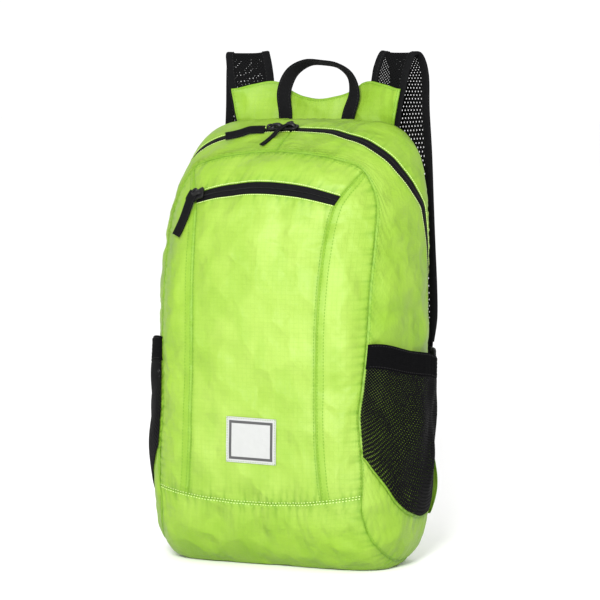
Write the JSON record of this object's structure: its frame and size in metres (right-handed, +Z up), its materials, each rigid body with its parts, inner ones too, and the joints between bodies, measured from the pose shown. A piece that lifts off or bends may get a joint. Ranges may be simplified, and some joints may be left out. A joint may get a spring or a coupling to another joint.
{
  "type": "packable backpack",
  "caption": "Soft unlined daypack with a zipped main compartment, front zip pocket, net side pockets, net shoulder straps and a haul loop.",
  "frame": {"origin": "on the floor under the middle of the base, where the flat part of the base rests", "axes": "+Z up along the height of the bag, +X to the right seen from the front, -Y towards the front panel, +Y towards the wearer's back"},
  "size_m": [0.3076, 0.199, 0.5274],
  "materials": {
    "lime_ripstop": "thin coated ripstop nylon with a soft sheen",
    "black_webbing": "matte woven polyester webbing and elastic",
    "black_net": "open knitted net",
    "zip_tape": "smooth coated tape over a coil zip",
    "black_plastic": "moulded, finely grained",
    "pale_patch": "woven patch, bare but for a thin frame line"
  },
  "bodies": {
    "root": {"front_centre_panel": "lime_ripstop", "front_cap_panel": "lime_ripstop", "front_side_strip_left": "lime_ripstop", "front_side_strip_right": "lime_ripstop", "side_gusset_left": "lime_ripstop", "side_gusset_right": "lime_ripstop", "rear_gusset": "lime_ripstop", "back_panel": "lime_ripstop", "base_panel": "lime_ripstop", "side_boot_left": "lime_ripstop", "side_boot_right": "lime_ripstop", "shoulder_yoke": "lime_ripstop", "corner_tab_left": "lime_ripstop", "corner_tab_right": "lime_ripstop", "front_zip_tape": "zip_tape", "main_zip_tape": "zip_tape", "front_zip_slider": "black_plastic", "main_zip_slider_left": "black_plastic", "main_zip_slider_right": "black_plastic", "strap_buckle_left": "black_plastic", "strap_buckle_right": "black_plastic", "front_zip_pull": "black_webbing", "main_zip_pull_left": "black_webbing", "main_zip_pull_right": "black_webbing", "pocket_elastic_left": "black_webbing", "pocket_elastic_right": "black_webbing", "haul_loop": "black_webbing", "strap_webbing_left": "black_webbing", "strap_webbing_right": "black_webbing", "mesh_pocket_left": "black_net", "mesh_pocket_right": "black_net", "shoulder_strap_left": "black_net", "shoulder_strap_right": "black_net", "label_patch": "pale_patch"}
  },
  "joints": []
}
